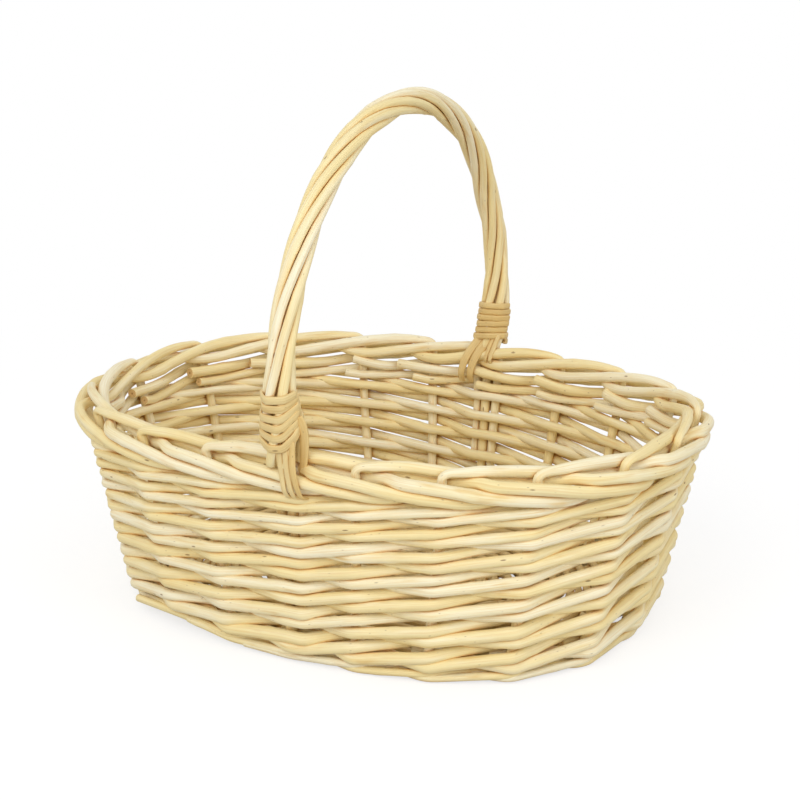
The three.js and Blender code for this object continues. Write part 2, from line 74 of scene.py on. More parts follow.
# Rod surfaces
ROD_SIDES = 12
RING_STEP = 3.2 * MM
KINK = 3.2 * MM                       # length of a sharp bend, each way
KINK_LIMIT = 0.45                     # the share of a stroke that a bend may take
KINK_STEPS = 4
WANDER = 0.5 * MM                     # how far a rod strays from its line
WANDER_LENGTH = 40 * MM
BUD_SPACING = 70 * MM                 # swellings where buds sat
BUD_SCATTER = 0.4                     # how unevenly they lie
BUD_SWELL = 0.09
BUD_LENGTH = 3.5 * MM
OVAL = 0.035                          # out of round
CUT_EDGE = 0.35 * MM                  # rounded edge of a cut end
CUT_SIZE = 0.88


def mix(a, b, share):
    return a + (b - a) * share


def ease(low, high, value):
    """0 below low, 1 above high, and smooth between."""
    share = min(max((value - low) / (high - low), 0.0), 1.0)
    return share * share * (3 - 2 * share)


# Places on the wall: s counts stakes anticlockwise from the front middle

def power(value, exponent):
    return math.copysign(abs(value) ** exponent, value)


OUTLINE_STEPS = 1440
outline = []
for i in range(OUTLINE_STEPS + 1):
    turn = TAU * (i / OUTLINE_STEPS - 0.25)
    outline.append((power(math.cos(turn), 2 / SQUARENESS), power(math.sin(turn), 2 / SQUARENESS)))
outline_length = [0.0]
for (x0, y0), (x1, y1) in zip(outline, outline[1:]):
    outline_length.append(outline_length[-1]
                          + math.hypot((x1 - x0) * RIM_HALF[0], (y1 - y0) * RIM_HALF[1]))
stake_spacing = outline_length[-1] / STAKES


def outline_at(s):
    target = (s % STAKES) * stake_spacing
    i = max(bisect.bisect_left(outline_length, target), 1)
    share = (target - outline_length[i - 1]) / (outline_length[i] - outline_length[i - 1])
    return [mix(a, b, share) for a, b in zip(outline[i - 1], outline[i])]


def half_axes(z):
    return [mix(f, r, z / BORDER_HEIGHT) for f, r in zip(FLOOR_HALF, RIM_HALF)]


def outwards(s, z):
    a, b = half_axes(z)
    x, y = outline_at(s)
    return Vector((power(x, SQUARENESS - 1) / a, power(y, SQUARENESS - 1) / b, 0)).normalized()


def tilt_at(s, z):
    share = (z - LOWEST_ROUND) / (HIGHEST_ROUND - LOWEST_ROUND)
    x, y = outline_at(s)
    return (RIM_ROLL * x - RIM_TILT * y) * min(max(share, 0.0), 1.0)


def hump(s, middle, reach):
    """1 at the middle, fading over the reach to both sides."""
    return math.exp(-((s % STAKES - middle) / reach) ** 2)


def on_wall(s, out, z):
    """A point at place s and height z, so far outside the stake line."""
    a, b = half_axes(z)
    x, y = outline_at(s)
    low = 1 - min(max(z / BORDER_HEIGHT, 0.0), 1.0)
    lift = FLOOR_LIFT * hump(s, LIFT_PLACE, LIFT_REACH) * low ** 2
    waves = sum(height * hump(s, middle, reach) for middle, reach, height in RIM_WAVES)
    lift += waves * (1 - low) ** 2
    full = 1 + FLOOR_SKEW * low * max(-x * y, 0.0) ** 2
    place = Vector((a * x * full, b * y * full, z + tilt_at(s, z) + lift)) + outwards(s, z) * out
    place.rotate(Euler((0, 0, -FLOOR_TWIST * low)))
    return place


bow_clearance = (STAKE_DIAMETER + BOW_DIAMETER) / 2 + GAP
stake_shift = bow_clearance * RIM_HALF[0] / FLOOR_HALF[0] / stake_spacing


def bow_at(k):
    """Place of number k, counted in stakes from the handle's front foot."""
    turn = TAU * k / STAKES
    return k + HANDLE_SHIFT / stake_spacing * math.cos(turn) - CROWDING * math.sin(2 * turn)


def stake_at(k):
    """Place of stake k, which stands just to the left, so that the bow fits in beside it."""
    return bow_at(k) - stake_shift


# Rods: a line through given points, and a closed tube along it. The numbers that multiply a seed
# only make one rod differ from the next.

def smooth(points, step=RING_STEP):
    """Points a step apart on one curve through the given points."""
    last = len(points) - 1
    spans = [max((b - a).length, 1e-6) for a, b in zip(points, points[1:])]
    slopes = []
    for i, point in enumerate(points):
        before = (point - points[i - 1]) / spans[i - 1] if i > 0 else None
        after = (points[i + 1] - point) / spans[i] if i < last else None
        slopes.append((before + after) / 2 if before and after else before or after)
    path = []
    for i, span in enumerate(spans):
        count = max(math.ceil(span / step), 1)
        for j in range(count):
            t = j / count
            a, b = points[i], points[i + 1]
            path.append(a * (2 * t**3 - 3 * t**2 + 1) + b * (3 * t**2 - 2 * t**3)
                        + slopes[i] * span * (t**3 - 2 * t**2 + t) + slopes[i + 1] * span * (t**3 - t**2))
    path.append(points[-1].copy())
    return path


def kinked(points, kink=KINK, step=RING_STEP):
    """Straight strokes between the given points, with a short bend at each of them."""
    path = [points[0].copy()]
    for i in range(1, len(points)):
        start, corner = path[-1], points[i]
        ahead = corner - start
        limit = KINK_LIMIT * (corner - points[i - 1]).length
        reach = min(kink, limit) if i < len(points) - 1 else 0.0
        end = corner - ahead.normalized() * reach
        count = max(round((end - start).length / step), 1)
        path += [start.lerp(end, j / count) for j in range(1, count + 1)]
        if i < len(points) - 1:
            onward = points[i + 1] - corner
            far = corner + onward.normalized() * min(kink, KINK_LIMIT * onward.length)
            for t in (n / KINK_STEPS for n in range(1, KINK_STEPS + 1)):
                path.append(end * (1 - t) ** 2 + corner * 2 * t * (1 - t) + far * t * t)
    return path


def lengths(path):
    along = [0.0]
    for a, b in zip(path, path[1:]):
        along.append(along[-1] + (b - a).length)
    return along


def strayed(path, seed, amount=WANDER):
    """The path with a slow wander, as a grown rod has."""
    moved = []
    for point, along in zip(path, lengths(path)):
        drift = noise.noise_vector(Vector((along / WANDER_LENGTH, seed * 7.31, 0.5)))
        moved.append(point + drift * amount)
    return moved


def circle(diameter, sides=ROD_SIDES):
    return [(diameter / 2 * math.cos(TAU * j / sides), diameter / 2 * math.sin(TAU * j / sides))
            for j in range(sides)]


def strip(width, thickness):
    """Section of a split skein: flat inside, slightly crowned outside, edges rounded."""
    w, t = width / 2, thickness / 2
    half = [(-t, 0.86), (-0.55 * t, 1.0), (0.3 * t, 0.97), (0.85 * t, 0.72), (t, 0.3)]
    return [(x, -w * y) for x, y in half] + [(x, w * y) for x, y in reversed(half)]


def taper(butt, tip):
    return lambda share: mix(butt, tip, share)


def bud_swell(along, seed):
    """Slight swellings at uneven distances along a rod."""
    cell = math.floor(along / BUD_SPACING)
    place = (cell + 0.5 + BUD_SCATTER * math.sin(cell * 12.9 + seed * 78.2)) * BUD_SPACING
    return BUD_SWELL * math.exp(-((along - place) / BUD_LENGTH) ** 2)


def tube(path, section, swell=taper(1, 1), normals=None, seed=0):
    """A closed tube. The section's first axis lies on the normals, or is carried along unturned."""
    along = lengths(path)
    last = len(path) - 1
    normal = UP if abs((path[1] - path[0]).normalized().z) < 0.9 else ALONG_X
    rings = []
    for i, point in enumerate(path):
        tangent = (path[min(i + 1, last)] - path[max(i - 1, 0)]).normalized()
        facing = normals[i] if normals else normal
        normal = (facing - tangent * facing.dot(tangent)).normalized()
        size = swell(along[i] / along[-1]) * (1 if normals else 1 + bud_swell(along[i], seed))
        rings.append((point, tangent, normal, size, along[i]))
    point, tangent, normal, size, _ = rings[0]
    rings.insert(0, (point - tangent * CUT_EDGE, tangent, normal, size * CUT_SIZE, -CUT_EDGE))
    point, tangent, normal, size, length = rings[-1]
    rings.append((point + tangent * CUT_EDGE, tangent, normal, size * CUT_SIZE, length + CUT_EDGE))
    verts, grain = [], []
    for point, tangent, normal, size, length in rings:
        side = tangent.cross(normal)
        for x, y in section:
            round_out = 1 + (0 if normals else OVAL * math.cos(2 * math.atan2(y, x) + seed * 2.4))
            verts.append(point + (normal * x + side * y) * size * round_out)
            grain += [length + seed * 0.731, x, y]
    return {"verts": verts, "grain": grain, "sides": len(section), "rings": len(rings),
            "tone": 0.5 + 0.5 * math.sin(seed * 51.7)}


def rod_piece(name, tubes, look, node_name=None):
    """One object made of one or more tubes, which takes the place of a node where one is named."""
    verts, faces, grain, tones, kinds = [], [], [], [], []
    for part in tubes:
        base, sides, rings = len(verts), part["sides"], part["rings"]
        verts += part["verts"]
        grain += part["grain"]
        tones += [part["tone"]] * len(part["verts"])
        for i in range(rings - 1):
            for j in range(sides):
                k = (j + 1) % sides
                faces.append(tuple(base + n for n in (i * sides + j, i * sides + k,
                                                      (i + 1) * sides + k, (i + 1) * sides + j)))
        top = base + (rings - 1) * sides
        faces += [tuple(range(base + sides - 1, base - 1, -1)), tuple(range(top, top + sides))]
        kinds += [0] * ((rings - 1) * sides) + [1, 1]
    mesh = bpy.data.meshes.new(name)
    mesh.from_pydata(verts, [], faces)
    mesh.attributes.new("grain", "FLOAT_VECTOR", "POINT").data.foreach_set("vector", grain)
    mesh.attributes.new("tone", "FLOAT", "POINT").data.foreach_set("value", tones)
    mesh.materials.append(look["bark"])
    mesh.materials.append(look["cut"])
    mesh.polygons.foreach_set("use_smooth", [kind == 0 for kind in kinds])
    mesh.polygons.foreach_set("material_index", kinds)
    mesh.update()
    piece = bpy.data.objects.new(name, mesh)
    bpy.context.scene.collection.objects.link(piece)
    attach(piece, "root")
    if node_name:
        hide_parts(node_name)


# Materials

def node(tree, kind, inputs=None, **settings):
    made = tree.nodes.new(kind)
    for key, value in settings.items():
        setattr(made, key, value)
    for socket, value in (inputs or {}).items():
        if isinstance(value, bpy.types.NodeSocket):
            tree.links.new(value, made.inputs[socket])
        else:
            made.inputs[socket].default_value = value
    return made


def linear(red, green, blue):
    """A colour as it is seen, 0 to 255, as the renderer's linear values."""
    def channel(value):
        value /= 255
        return value / 12.92 if value <= 0.04045 else ((value + 0.055) / 1.055) ** 2.4
    return (channel(red), channel(green), channel(blue), 1.0)


def new_material(name):
    material = bpy.data.materials.new(name)
    material.use_nodes = True
    tree = material.node_tree
    tree.nodes.clear()
    return material, tree


def blend(tree, share, a, b):
    made = node(tree, "ShaderNodeMix", data_type="RGBA")
    for socket, value in ((made.inputs[0], share), (made.inputs[6], a), (made.inputs[7], b)):
        if isinstance(value, bpy.types.NodeSocket):
            tree.links.new(value, socket)
        else:
            socket.default_value = value
    return made.outputs[2]


def remap(tree, value, low, high, to_low=0.0, to_high=1.0):
    made = node(tree, "ShaderNodeMapRange", {"Value": value, "From Min": low, "From Max": high,
                                             "To Min": to_low, "To Max": to_high},
                interpolation_type="SMOOTHSTEP")
    return made.outputs["Result"]


def math_node(tree, operation, a, b):
    return node(tree, "ShaderNodeMath", {0: a, 1: b}, operation=operation).outputs[0]


def stretched_noise(tree, grain, scale, detail=3.0):
    """Noise drawn out along the rod: scale is per metre along and across it."""
    along, across = scale
    mapped = node(tree, "ShaderNodeMapping", {"Vector": grain, "Scale": (along, across, across)})
    made = node(tree, "ShaderNodeTexNoise", {"Vector": mapped.outputs["Vector"], "Scale": 1.0,
                                             "Detail": detail, "Roughness": 0.55})
    return made.outputs["Fac"]


def flecks(tree, grain, scale, share):
    """Small marks, drawn out along the rod, in a share of the cells."""
    along, across = scale
    mapped = node(tree, "ShaderNodeMapping", {"Vector": grain, "Scale": (along, across, across)})
    cells = node(tree, "ShaderNodeTexVoronoi", {"Vector": mapped.outputs["Vector"], "Scale": 1.0})
    spot = remap(tree, cells.outputs["Distance"], 0.07, 0.19, 1.0, 0.0)
    pick = node(tree, "ShaderNodeSeparateColor", {"Color": cells.outputs["Color"]}).outputs[0]
    return math_node(tree, "MULTIPLY", spot, math_node(tree, "GREATER_THAN", pick, 1 - share))


PATCH_SCALE = (18, 150)               # per metre along and across a rod
STREAK_SCALE = (26, 1500)
STAIN_SCALE = (34, 210)
MARK_SCALE = (80, 260)
FINE_MARK_SCALE = (190, 620)
TONE_SHARE = 0.36                     # how much one rod differs from the next
PAINTED_SHADE_REACH = 4 * MM                # painted shade: rods are darkened towards brown where others lie within this reach
PAINTED_SHADE_COLOUR = linear(222, 162, 66)
SPECK_COLOUR = linear(124, 82, 38)
GRAIN_DEPTH = 0.20 * MM


def bark_material(name, pale, straw, tan, roughness):
    """Peeled willow: pale with straw patches, fine streaks along the rod and small brown marks, and
    painted shade where rods lie close together.
    """
    material, tree = new_material(name)
    grain = node(tree, "ShaderNodeAttribute", attribute_name="grain").outputs["Vector"]
    tone = node(tree, "ShaderNodeAttribute", attribute_name="tone").outputs["Fac"]
    patches = stretched_noise(tree, grain, PATCH_SCALE)
    streaks = stretched_noise(tree, grain, STREAK_SCALE, 4.0)
    stains = stretched_noise(tree, grain, STAIN_SCALE, 2.0)
    shade = math_node(tree, "ADD", patches, math_node(tree, "MULTIPLY", tone, TONE_SHARE))
    colour = blend(tree, remap(tree, shade, 0.36, 0.90), pale, straw)
    colour = blend(tree, remap(tree, stains, 0.58, 0.80, 0.0, 0.60), colour, tan)
    colour = blend(tree, remap(tree, streaks, 0.38, 0.75, 0.0, 0.46), colour, tan)
    # Painted shade: an occlusion test darkens the colour towards brown where rods lie close together
    shade_test = node(tree, "ShaderNodeAmbientOcclusion", {"Distance": PAINTED_SHADE_REACH}, samples=4)
    painted_shade = remap(tree, shade_test.outputs["AO"], 0.05, 0.68, 0.82, 0.0)
    colour = blend(tree, painted_shade, colour, PAINTED_SHADE_COLOUR)
    marks = math_node(tree, "MULTIPLY", flecks(tree, grain, MARK_SCALE, 0.10), 0.75)
    fine = math_node(tree, "MULTIPLY", flecks(tree, grain, FINE_MARK_SCALE, 0.16), 0.50)
    marks = math_node(tree, "MAXIMUM", marks, fine)
    colour = blend(tree, marks, colour, SPECK_COLOUR)
    height = math_node(tree, "SUBTRACT", streaks, marks)
    bump = node(tree, "ShaderNodeBump", {"Height": height, "Strength": 0.25, "Distance": GRAIN_DEPTH})
    shader = node(tree, "ShaderNodeBsdfPrincipled", {
        "Base Color": colour, "Normal": bump.outputs["Normal"],
        "Roughness": remap(tree, patches, 0.3, 0.7, roughness - 0.06, roughness + 0.08)})
    node(tree, "ShaderNodeOutputMaterial", {"Surface": shader.outputs["BSDF"]})
    return material


PITH_RADIUS = (0.5 * MM, 1.1 * MM)    # full inside the first, gone outside the second
FIBRE_SCALE = 1800.0


def cut_material(name, wood, pith):
    """A cut end: pale wood with a darker pith."""
    material, tree = new_material(name)
    grain = node(tree, "ShaderNodeAttribute", attribute_name="grain").outputs["Vector"]
    across = node(tree, "ShaderNodeVectorMath", {0: grain, 1: (0, 1, 1)}, operation="MULTIPLY").outputs[0]
    reach = node(tree, "ShaderNodeVectorMath", {0: across}, operation="LENGTH").outputs["Value"]
    fibres = node(tree, "ShaderNodeTexNoise", {"Vector": across, "Scale": FIBRE_SCALE, "Detail": 2.0})
    colour = blend(tree, remap(tree, reach, *PITH_RADIUS, 0.8, 0.0), wood, pith)
    colour = blend(tree, remap(tree, fibres.outputs["Fac"], 0.4, 0.7, 0.0, 0.35), colour, pith)
    shader = node(tree, "ShaderNodeBsdfPrincipled", {"Base Color": colour, "Roughness": 0.7})
    node(tree, "ShaderNodeOutputMaterial", {"Surface": shader.outputs["BSDF"]})
    return material


cut_end = cut_material("cut_end", linear(226, 192, 134), linear(158, 112, 60))
WILLOW = {"slot": "peeled_willow", "cut": cut_end, "bark": bark_material(
    "peeled_willow", linear(255, 247, 216), linear(250, 232, 174), linear(230, 190, 112), 0.60)}
SKEIN = {"slot": "willow_skein", "cut": cut_end, "bark": bark_material(
    "willow_skein", linear(240, 217, 158), linear(228, 196, 128), linear(202, 160, 86), 0.52)}
# The base's willow has darker colours than the wall's: painted shade for the inside of the basket
BASE = {"slot": "base_willow", "cut": cut_end, "bark": bark_material(
    "base_willow", linear(232, 212, 162), linear(212, 184, 126), linear(184, 146, 88), 0.58)}

# Stakes and border: each stake bends to the right, sinks inside the next two, comes out under the
# bend of the second, slants down outside the two after it and goes in again, where it is cut off.
# Steps are along, out and height: along is counted in stakes, out and height in lays.
BORDER_RUN = [
    (0.00, 0.00, 0.05), (0.00, 0.00, 0.58), (0.05, -0.04, 0.92), (0.20, -0.22, 1.06),
    (0.50, -0.60, 1.09), (1.00, -1.02, 0.74), (1.50, -1.24, 0.10), (1.90, -1.14, -0.34),
    (2.14, -0.80, -0.26), (2.36, 0.05, 0.14), (2.56, 0.90, 0.14), (2.85, 1.16, 0.02),
    (3.05, 1.19, -0.16), (3.50, 1.18, -0.76), (4.00, 1.06, -1.22), (4.25, 0.62, -1.52),
    (4.50, -0.15, -1.66),
]
TAIL_RUN = [(4.74, -1.04, -1.52), (5.05, -1.14, -1.36), (5.34, -1.17, -1.06)]
# The foot turns in under the wall: out and height in mm
STAKE_TOE = [(-30, 8.5), (-20, 6.5), (-9, 4.2), (-3.4, 4.0), (-0.9, 5.4), (0, 8.6)]
STAKE_LEVELS = (35, 65, 95)           # mm
STAKE_STEP = 2.6 * MM
STAKE_SIZES = (0.92, 1.10)            # from the thinnest to the thickest
STAKE_TIP = 0.94
STAKE_LEAN = 0.02                     # in stakes
ARCH_PLACE, ARCH_REACH = 0.5, 0.35    # each arch stands a little higher or lower
ARCH_RISE = (-0.08, 0.10)
TAIL_DROP = (-0.40, 0.10)
TAIL_CUT = (0.7, 1.15)                # the ends are cut off unevenly
WALL_SWELL = 0.90                     # of a stake in the wall, against its nominal thickness
BORDER_SWELL = 1.08
PINCH = 0.16                          # a rod is squeezed where it is bent sharply
PINCH_REACH = 0.02                    # in shares of the rod's length
SWELL_REACH = 0.1
BEND_STEP = 2                         # where that bend is in the border's run
BORDER_RISE = 1.16 * LAY              # of the top rods, from the border's middle
border_top = BORDER_HEIGHT + BORDER_RISE + STAKE_DIAMETER / 2


def stake(k):
    points = [on_wall(stake_at(k), out * MM, z * MM) for out, z in STAKE_TOE]
    lean = random.uniform(-STAKE_LEAN, STAKE_LEAN)
    for z in STAKE_LEVELS:
        at = stake_at(k) + lean * math.sin(math.pi * z * MM / BORDER_HEIGHT)
        points.append(on_wall(at, 0, z * MM))
    own_rise = random.uniform(*ARCH_RISE)
    for along, out, rise in BORDER_RUN:
        arch = own_rise * math.exp(-((along - ARCH_PLACE) / ARCH_REACH) ** 2)
        points.append(on_wall(stake_at(k + along), out * LAY, BORDER_HEIGHT + (rise + arch) * LAY))
    drop, cut = random.uniform(*TAIL_DROP), random.uniform(*TAIL_CUT)
    for i, (along, out, rise) in enumerate(TAIL_RUN):
        at = stake_at(k + mix(BORDER_RUN[-1][0], along, cut))
        points.append(on_wall(at, out * LAY, BORDER_HEIGHT + (rise + drop * i / 2) * LAY))
    own = random.uniform(*STAKE_SIZES)

    along = lengths(points)
    bend = along[len(STAKE_TOE) + len(STAKE_LEVELS) + BEND_STEP] / along[-1]

    def swell(share):
        pinch = 1 - PINCH * math.exp(-((share - bend) / PINCH_REACH) ** 2)
        place = mix(WALL_SWELL, BORDER_SWELL, ease(bend, bend + SWELL_REACH, share))
        return own * pinch * place * mix(1, STAKE_TIP, share)

    name = f"stake_{k + 1:02d}"
    rod = tube(strayed(smooth(points, STAKE_STEP), k), circle(STAKE_DIAMETER), swell, seed=k + 1)
    rod_piece(name + "_rod", [rod], WILLOW, name)


for k in range(STAKES):
    stake(k)

# French randing: one rod for each stake. A rod begins inside at the foot of the wall and climbs as it
# goes round: behind one stake, in front of two and in again one round higher, up to the border.
WALL_ROUNDS = 7
STROKE = 3                            # stakes from one way in to the next
WALL_ROD_BUTT = 7.8 * MM              # pressed together, so thicker than with the frame's clearance
WALL_ROD_TIP = 5.9 * MM
WALL_SLANT = math.radians(21)
FRONT_LEVELS = (-0.56, 0.40)          # on the first and the second stake, in thicknesses
FAR_DROP = 0.16                       # the weave is closer at the back
END_TAIL = 0.22                       # how far a rod's end runs on inside, in stakes
END_SINK = 0.3                        # and how far it stands off, in thicknesses
UNEVEN = 0.75 * MM
ROD_SIZES = (0.93, 1.07)              # from the thinnest to the thickest
FOOT_ROD = 6.4 * MM                   # a strand of the handle goes down beside the bow
HANDLE_NUMBERS = (0, STAKES // 2)     # stakes beside the handle's front and rear feet
FRONT_FOOT, REAR_FOOT = HANDLE_NUMBERS


def wall_thickness(share):
    return mix(WALL_ROD_BUTT, WALL_ROD_TIP, share)


def round_height(index):
    below = [wall_thickness((i + 0.5) / (WALL_ROUNDS - 1)) for i in range(WALL_ROUNDS - 1)]
    return mix(LOWEST_ROUND, HIGHEST_ROUND, sum(below[:max(index, 0)]) / sum(below))


def wall_rod(start):
    run = STROKE * WALL_ROUNDS
    points = []
    for n in range(run + 1):
        k = start + n
        index, step = divmod(n, STROKE)
        thick = wall_thickness(n / run)
        out = (STAKE_DIAMETER * WALL_SWELL + thick) / 2 / math.cos(WALL_SLANT)
        z = round_height(index)
        behind = (round_height(index - 1) + z) / 2
        far = FAR_DROP * max(outline_at(k)[1], 0.0)
        first, second = (z + (level - far) * thick for level in FRONT_LEVELS)
        place_out, height = ((-out, behind), (out, first), (out, second))[step]
        uneven = random.uniform(-UNEVEN, UNEVEN)
        if n == 0:
            points.append(on_wall(stake_at(k) - END_TAIL, -out - END_SINK * thick, height))
        points.append(on_wall(stake_at(k), place_out, height + uneven))
        if k % STAKES in HANDLE_NUMBERS and n < run:
            points.append(on_wall(bow_at(k) + FOOT_ROD / stake_spacing, place_out, height + uneven))
        if n == run:
            sink = END_SINK * thick
            points.append(on_wall(stake_at(k) + END_TAIL, -out - sink, height + sink))
    seed = 40 + start
    own = random.uniform(*ROD_SIZES)
    name = f"wall_rod_{start + 1:02d}"
    rod = tube(strayed(kinked(points), seed), circle(WALL_ROD_BUTT),
               taper(own, own * WALL_ROD_TIP / WALL_ROD_BUTT), seed=seed)
    rod_piece(name + "_rod", [rod], WILLOW, name)


for k in range(STAKES):
    wall_rod(k)

# Handle line: up the wall at the front, over the crown and down at the back
BOW_FOOT = 24 * MM
STRANDS = 6
STRAND_DIAMETER = 5.4 * MM
ROPE_TURNS = 2.6
HANDLE_HEIGHT = 325.7 * MM
HANDLE_HALF = 160 * MM
SHOULDER_HEIGHT = 183 * MM
LEG_STEPS, SHOULDER_STEPS, ARCH_STEPS = 16, 12, 64
BOW_STEPS = 160


def leg_points(k):
    """A leg from its foot in the wall up to the shoulder of the arch."""
    foot, rim = on_wall(bow_at(k), 0, BOW_FOOT), on_wall(bow_at(k), 0, BORDER_HEIGHT)
    flare = (rim.y - foot.y) / (rim.z - foot.z)
    shoulder = Vector((HANDLE_SHIFT, math.copysign(HANDLE_HALF, rim.y), SHOULDER_HEIGHT))
    bulge = min(rim.z + (shoulder.y - rim.y) / flare, SHOULDER_HEIGHT)
    swell = Vector((HANDLE_SHIFT, shoulder.y, bulge))
    points = [foot.lerp(rim, i / LEG_STEPS) for i in range(LEG_STEPS)]
    for i in range(SHOULDER_STEPS):
        t = i / SHOULDER_STEPS
        points.append(rim * (1 - t) ** 2 + swell * 2 * t * (1 - t) + shoulder * t * t)
    return points


handle_line = leg_points(FRONT_FOOT)
for i in range(ARCH_STEPS + 1):
    angle = math.pi * i / ARCH_STEPS
    handle_line.append(Vector((HANDLE_SHIFT, -HANDLE_HALF * math.cos(angle),
                               mix(SHOULDER_HEIGHT, HANDLE_HEIGHT, math.sin(angle)))))
handle_line += reversed(leg_points(REAR_FOOT))

# The legs aren't quite straight: heights, and how far a leg leans to the right there, in mm
FRONT_LEAN = [(100, 0.0), (135, -2.6), (165, -2.3), (200, -0.9), (260, -0.3)]
REAR_LEAN = [(130, 0.4), (165, 2.1), (207, 0.4), (243, -1.4), (290, 0.0)]
LEAN_REACH = 60 * MM                  # the lean fades towards the crown


def lean_at(leans, z):
    lean = leans[0][1]
    for (low, before), (high, after) in zip(leans, leans[1:]):
        lean += (after - before) * ease(low * MM, high * MM, z)
    return lean * MM


for point in handle_line:
    lean = lean_at(REAR_LEAN if point.y > 0 else FRONT_LEAN, point.z)
    point.x += lean * ease(0.0, LEAN_REACH, abs(point.y))
handle_along = lengths(handle_line)
handle_length = handle_along[-1]


def on_handle(length):
    """Point, sideways direction and face of the handle's middle line."""
    def at(value):
        value = min(max(value, 0.0), handle_length)
        i = min(max(bisect.bisect_left(handle_along, value), 1), len(handle_line) - 1)
        share = (value - handle_along[i - 1]) / (handle_along[i] - handle_along[i - 1])
        return handle_line[i - 1].lerp(handle_line[i], share)
    step = 4 * MM
    tangent = (at(length + step) - at(length - step)).normalized()
    side = (ALONG_X - tangent * ALONG_X.dot(tangent)).normalized()
    return at(length), side, tangent.cross(side)


def length_above(k, rise):
    """Length from a foot of the bow up to a height above the border's top there."""
    z = border_top + tilt_at(bow_at(k), border_top) + rise
    low, high = 0.0, handle_length / 2
    while high - low > 1e-5:
        middle = (low + high) / 2
        point = on_handle(middle if k == FRONT_FOOT else handle_length - middle)[0]
        if point.z < z:
            low = middle
        else:
            high = middle
    return low


ROPE_CIRCLE = 5.8 * MM                # middles of the strands round the bow
FOOT_SPREAD = {FRONT_FOOT: 1.78, REAR_FOOT: 1.45}     # the strands spread towards the border
SPREAD_RISE = 64 * MM
STRAND_SINK = 5 * MM                  # the strands' ends go down between the rods of the border
rope_foot = {k: length_above(k, -STRAND_SINK) for k in HANDLE_NUMBERS}
rope_run = handle_length - rope_foot[FRONT_FOOT] - rope_foot[REAR_FOOT]


def rope_circle(length):
    k = FRONT_FOOT if length < handle_length / 2 else REAR_FOOT
    up = (length if k == FRONT_FOOT else handle_length - length) - rope_foot[k]
    return ROPE_CIRCLE * mix(FOOT_SPREAD[k], 1.0, ease(STRAND_SINK, STRAND_SINK + SPREAD_RISE, up))


def rope_turn(length):
    return TAU * ROPE_TURNS * (length - rope_foot[FRONT_FOOT]) / rope_run


def around_handle(length, angle, radius):
    point, side, face = on_handle(length)
    normal = side * math.cos(angle) + face * math.sin(angle)
    return point + normal * radius, normal


bow = [on_handle(handle_length * i / BOW_STEPS)[0] for i in range(BOW_STEPS + 1)]
rod_piece("handle_bow_rod", [tube(bow, circle(BOW_DIAMETER), seed=71)], WILLOW, "handle_bow")

# One strand goes on down the wall beside the bow at each foot
FOOT_STRANDS = {FRONT_FOOT: 3, REAR_FOOT: 2}
FOOT_STRAND_MIDDLE = 95 * MM
FOOT_STRAND_END = 58 * MM
FOOT_JOIN = 5                         # rings of the rope that give way to it
STRAND_SIZES = (0.95, 1.06)
STRAND_TAPER = (1.05, 0.96)


def foot_strand(k):
    place = bow_at(k) + FOOT_ROD / stake_spacing
    levels = (BORDER_HEIGHT - 0.5 * LAY, FOOT_STRAND_MIDDLE, FOOT_STRAND_END)
    return [on_wall(place, 0, z) for z in levels]


for j in range(STRANDS):
    path = []
    steps = math.ceil(rope_run / RING_STEP)
    for i in range(steps + 1):
        length = rope_foot[FRONT_FOOT] + rope_run * i / steps
        angle = TAU * j / STRANDS + rope_turn(length)
        path.append(around_handle(length, angle, rope_circle(length))[0])
    path = strayed(path, 80 + j)
    if j == FOOT_STRANDS[FRONT_FOOT]:
        path = smooth(foot_strand(FRONT_FOOT)[::-1] + [path[FOOT_JOIN - 1]]) + path[FOOT_JOIN:]
    if j == FOOT_STRANDS[REAR_FOOT]:
        path = path[:-FOOT_JOIN] + smooth([path[-FOOT_JOIN]] + foot_strand(REAR_FOOT))
    own = random.uniform(*STRAND_SIZES)
    thinning = taper(*(own * share for share in STRAND_TAPER))
    rod = tube(path, circle(STRAND_DIAMETER), thinning, seed=80 + j)
    rod_piece(f"handle_strand_{j + 1}_rod", [rod], WILLOW, f"handle_strand_{j + 1}")

# Bindings: one skein wound up each foot of the rope
BINDING_TURNS = 6
BINDING_FOOT = {FRONT_FOOT: 6.0 * MM, REAR_FOOT: 0.4 * MM}
SKEIN_WIDTH = {FRONT_FOOT: 5.1 * MM, REAR_FOOT: 4.2 * MM}
BINDING_PITCH = {FRONT_FOOT: 5.6 * MM, REAR_FOOT: 4.4 * MM}
SKEIN_THICKNESS = 1.7 * MM
LOOP_STEPS = 36
SAG = {FRONT_FOOT: 4 * MM, REAR_FOOT: 0.8 * MM}       # the lowest turns hang lower on the outer side
RISE = {FRONT_FOOT: 11 * MM, REAR_FOOT: 1.5 * MM}     # and climb steeply on the right
FACING = math.radians(-64)            # where that outer side is, as an angle round the rope
LOOP_UNEVEN = 0.5 * MM
LOOP_SLACK = 0.3 * MM


def bundle_reach(angle, circle_radius):
    """How far the bundle of strands reaches, at an angle from one of them, when it is drawn tight."""
    part = (angle + math.pi / STRANDS) % (TAU / STRANDS) - math.pi / STRANDS
    flat = circle_radius * math.cos(math.pi / STRANDS) / math.cos(abs(part) - math.pi / STRANDS)
    return min(flat, circle_radius) + STRAND_DIAMETER / 2


